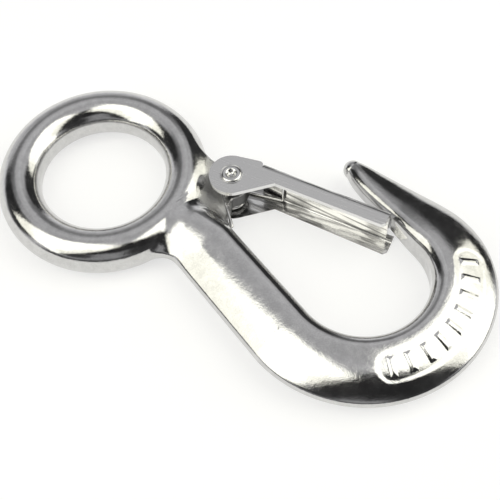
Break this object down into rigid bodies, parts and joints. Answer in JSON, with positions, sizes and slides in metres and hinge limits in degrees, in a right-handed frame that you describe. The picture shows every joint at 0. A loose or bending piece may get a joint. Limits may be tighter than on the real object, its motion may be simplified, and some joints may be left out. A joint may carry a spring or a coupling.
{
  "type": "eye hook with latch",
  "caption": "Forged stainless steel lifting hook with a round fixed eye and a spring-loaded channel latch that swings inwards.",
  "frame": {"origin": "centre of the eye's hole, at mid thickness of the hook", "axes": "+X along the load line from the eye to the bowl, +Y towards the side that the hook opens on, +Z along the eye's axis; the hook lies flat"},
  "size_m": [0.1237, 0.0602, 0.0136],
  "materials": {
    "polished_steel": "mirror-polished stainless steel",
    "latch_sheet": "satin stainless sheet outside, bright inside",
    "rivet_steel": "bright stainless rivet",
    "spring_wire": "bright drawn spring wire"
  },
  "bodies": {
    "hook": {"hook_body": "polished_steel", "latch_rivet": "rivet_steel", "latch_spring": "spring_wire"},
    "latch": {"latch": "latch_sheet"}
  },
  "joints": [
    {"name": "latch_pivot", "type": "hinge", "parent": "hook", "child": "latch", "pos_m": [0.02965, 0.0104, 0], "axis": [0, 0, 1], "range_deg": [-41, 0], "stiffness_Nm_per_rad": 0.04, "springref_deg": 40.11, "deforming": ["latch_spring"]}
  ]
}
